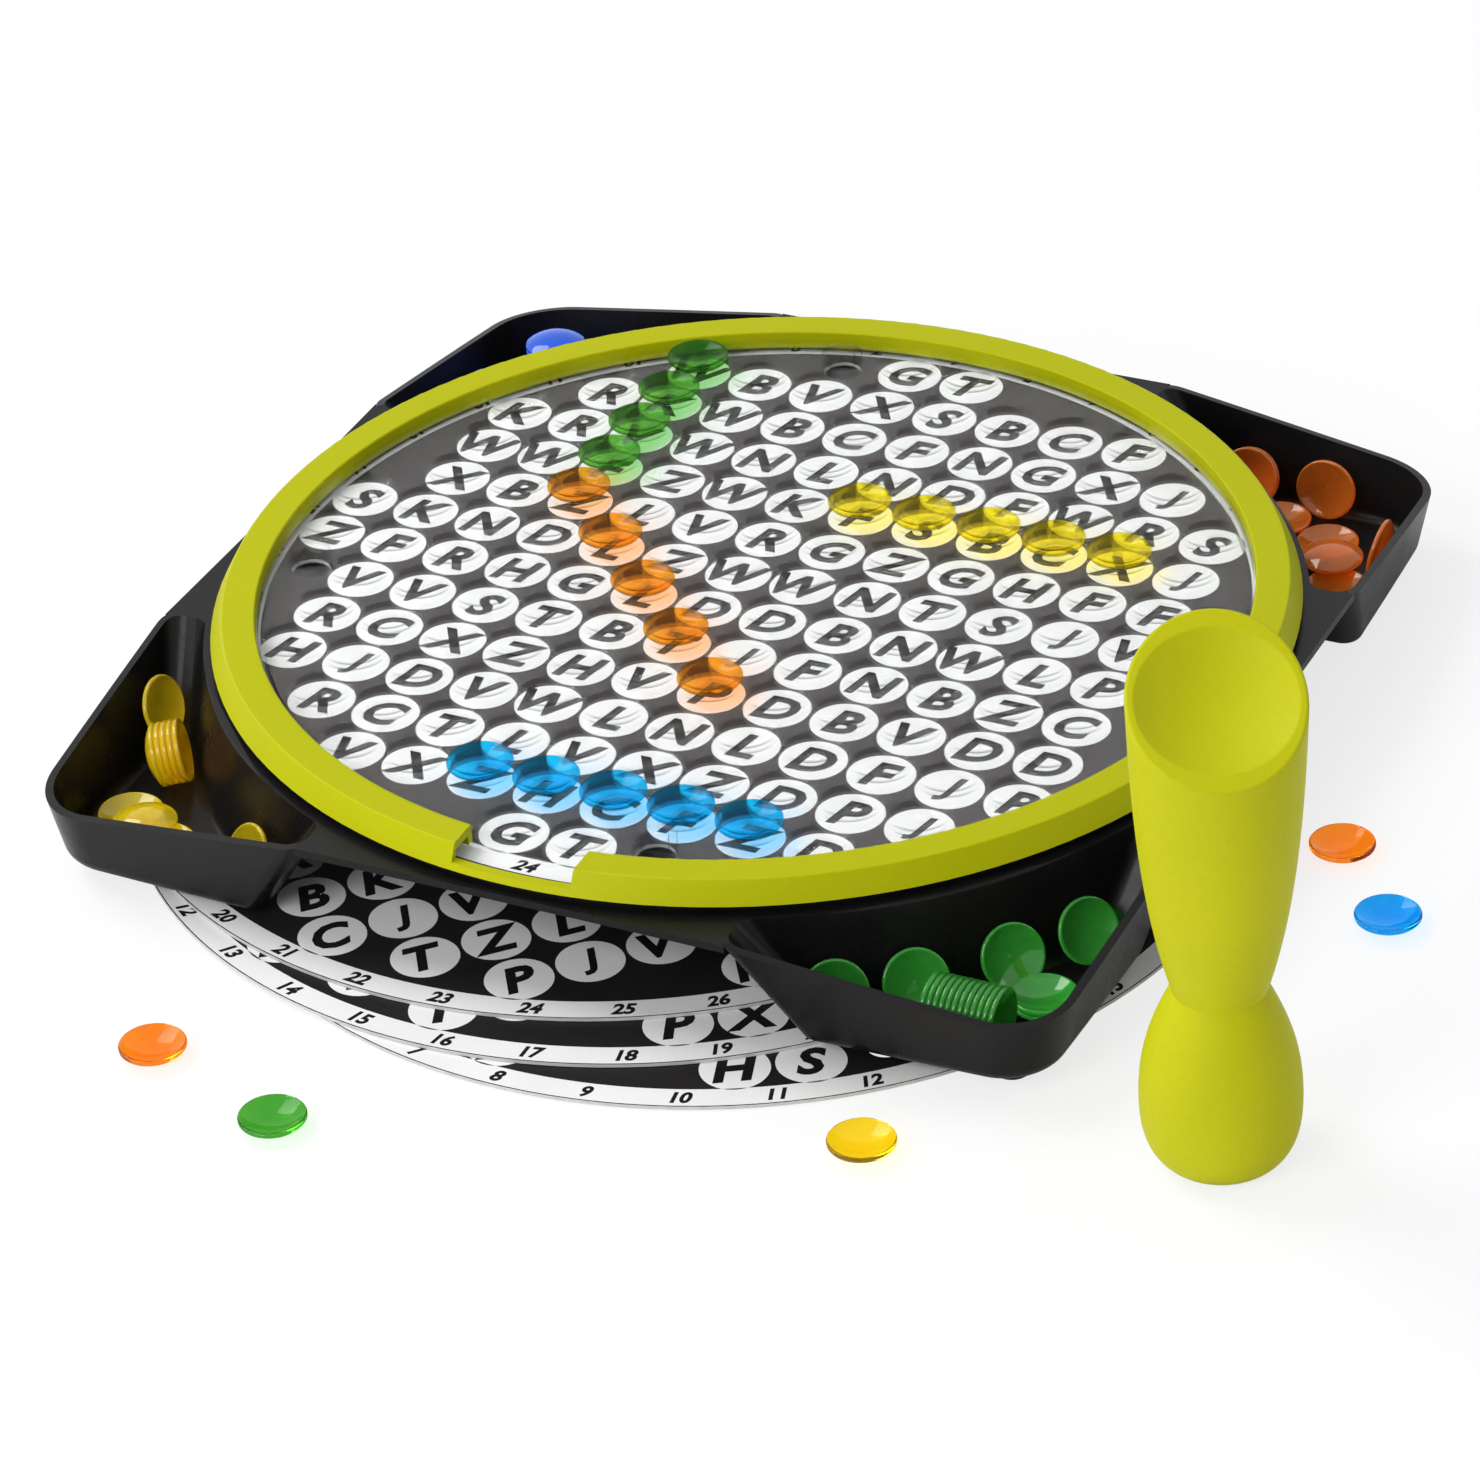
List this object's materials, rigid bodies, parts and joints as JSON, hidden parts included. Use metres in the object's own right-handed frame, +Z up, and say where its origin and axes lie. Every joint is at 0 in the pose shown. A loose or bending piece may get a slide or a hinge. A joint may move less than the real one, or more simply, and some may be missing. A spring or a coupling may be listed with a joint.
{
  "type": "word board game",
  "caption": "Square black game tray with a turning lime dial ring, clear well cover over a printed letter disc, corner trays of dished chips, spare discs and a waisted grab piece.",
  "frame": {"origin": "on the dial's axis, at table level", "axes": "+Z up; +X along the rows of wells; +Y away from the player at the reading window"},
  "size_m": [0.3171, 0.3129, 0.1184],
  "materials": {
    "black_plastic": "satin moulded",
    "printed_card": "smooth print",
    "clear_plastic": "polished clear",
    "lime_gloss": "semi-gloss moulded",
    "lime_matt": "fine matt",
    "chip_green": "translucent polished",
    "chip_orange": "translucent polished",
    "chip_yellow": "translucent polished",
    "chip_blue": "translucent polished"
  },
  "bodies": {
    "base": {"base_platform": "black_plastic", "corner_tray_back_right": "black_plastic", "corner_tray_back_left": "black_plastic", "corner_tray_front_left": "black_plastic", "corner_tray_front_right": "black_plastic"},
    "puzzle_disc": {"puzzle_disc": "printed_card"},
    "clear_cover": {"clear_cover": "clear_plastic"},
    "dial_ring": {"dial_ring": "lime_gloss"},
    "board_chips_green": {"board_chips_green": "chip_green"},
    "board_chips_orange": {"board_chips_orange": "chip_orange"},
    "board_chips_yellow": {"board_chips_yellow": "chip_yellow"},
    "board_chips_blue": {"board_chips_blue": "chip_blue"},
    "tray_chips_orange": {"tray_chips_orange": "chip_orange"},
    "tray_chips_blue": {"tray_chips_blue": "chip_blue"},
    "tray_chips_yellow": {"tray_chips_yellow": "chip_yellow"},
    "tray_chips_green": {"tray_chips_green": "chip_green"},
    "tray_stack_green": {"tray_stack_green": "chip_green"},
    "loose_chip_orange_right": {"loose_chip_orange_right": "chip_orange"},
    "loose_chip_blue": {"loose_chip_blue": "chip_blue"},
    "loose_chip_yellow": {"loose_chip_yellow": "chip_yellow"},
    "loose_chip_green": {"loose_chip_green": "chip_green"},
    "loose_chip_orange_left": {"loose_chip_orange_left": "chip_orange"},
    "spare_disc_lower": {"spare_disc_lower": "printed_card"},
    "spare_disc_middle": {"spare_disc_middle": "printed_card"},
    "spare_disc_upper": {"spare_disc_upper": "printed_card"},
    "grab_totem": {"grab_totem": "lime_matt"}
  },
  "joints": [
    {"name": "disc_lift", "type": "slide", "parent": "base", "child": "puzzle_disc", "axis": [0, 0, 1], "range_m": [0, 0.04]},
    {"name": "cover_lift", "type": "slide", "parent": "puzzle_disc", "child": "clear_cover", "axis": [0, 0, 1], "range_m": [0, 0.04]},
    {"name": "dial_turn", "type": "hinge", "parent": "clear_cover", "child": "dial_ring", "pos_m": [0, 0, 0.032], "axis": [0, 0, 1], "continuous": true},
    {"name": "board_chips_green_lift", "type": "slide", "parent": "clear_cover", "child": "board_chips_green", "axis": [0, 0, 1], "range_m": [0, 0.03]},
    {"name": "board_chips_orange_lift", "type": "slide", "parent": "clear_cover", "child": "board_chips_orange", "axis": [0, 0, 1], "range_m": [0, 0.03]},
    {"name": "board_chips_yellow_lift", "type": "slide", "parent": "clear_cover", "child": "board_chips_yellow", "axis": [0, 0, 1], "range_m": [0, 0.03]},
    {"name": "board_chips_blue_lift", "type": "slide", "parent": "clear_cover", "child": "board_chips_blue", "axis": [0, 0, 1], "range_m": [0, 0.03]},
    {"name": "tray_chips_orange_lift", "type": "slide", "parent": "base", "child": "tray_chips_orange", "axis": [0, 0, 1], "range_m": [0, 0.03]},
    {"name": "tray_chips_blue_lift", "type": "slide", "parent": "base", "child": "tray_chips_blue", "axis": [0, 0, 1], "range_m": [0, 0.03]},
    {"name": "tray_chips_yellow_lift", "type": "slide", "parent": "base", "child": "tray_chips_yellow", "axis": [0, 0, 1], "range_m": [0, 0.03]},
    {"name": "tray_chips_green_lift", "type": "slide", "parent": "base", "child": "tray_chips_green", "axis": [0, 0, 1], "range_m": [0, 0.03]},
    {"name": "tray_stack_green_lift", "type": "slide", "parent": "base", "child": "tray_stack_green", "axis": [0, 0, 1], "range_m": [0, 0.03]},
    {"name": "loose_chip_orange_right_lift", "type": "slide", "parent": "base", "child": "loose_chip_orange_right", "axis": [0, 0, 1], "range_m": [0, 0.03]},
    {"name": "loose_chip_blue_lift", "type": "slide", "parent": "base", "child": "loose_chip_blue", "axis": [0, 0, 1], "range_m": [0, 0.03]},
    {"name": "loose_chip_yellow_lift", "type": "slide", "parent": "base", "child": "loose_chip_yellow", "axis": [0, 0, 1], "range_m": [0, 0.03]},
    {"name": "loose_chip_green_lift", "type": "slide", "parent": "base", "child": "loose_chip_green", "axis": [0, 0, 1], "range_m": [0, 0.03]},
    {"name": "loose_chip_orange_left_lift", "type": "slide", "parent": "base", "child": "loose_chip_orange_left", "axis": [0, 0, 1], "range_m": [0, 0.03]},
    {"name": "spare_disc_lower_home", "type": "slide", "parent": "base", "child": "spare_disc_lower", "axis": [-0.249, 0.9685, 0], "range_m": [0, 0.03614]},
    {"name": "spare_disc_middle_home", "type": "slide", "parent": "base", "child": "spare_disc_middle", "axis": [0.4091, 0.9125, 0], "range_m": [0, 0.03178]},
    {"name": "spare_disc_upper_home", "type": "slide", "parent": "base", "child": "spare_disc_upper", "axis": [0.816, 0.578, 0], "range_m": [0, 0.02941]},
    {"name": "totem_lift", "type": "slide", "parent": "base", "child": "grab_totem", "axis": [0, 0, 1], "range_m": [0, 0.12]}
  ]
}
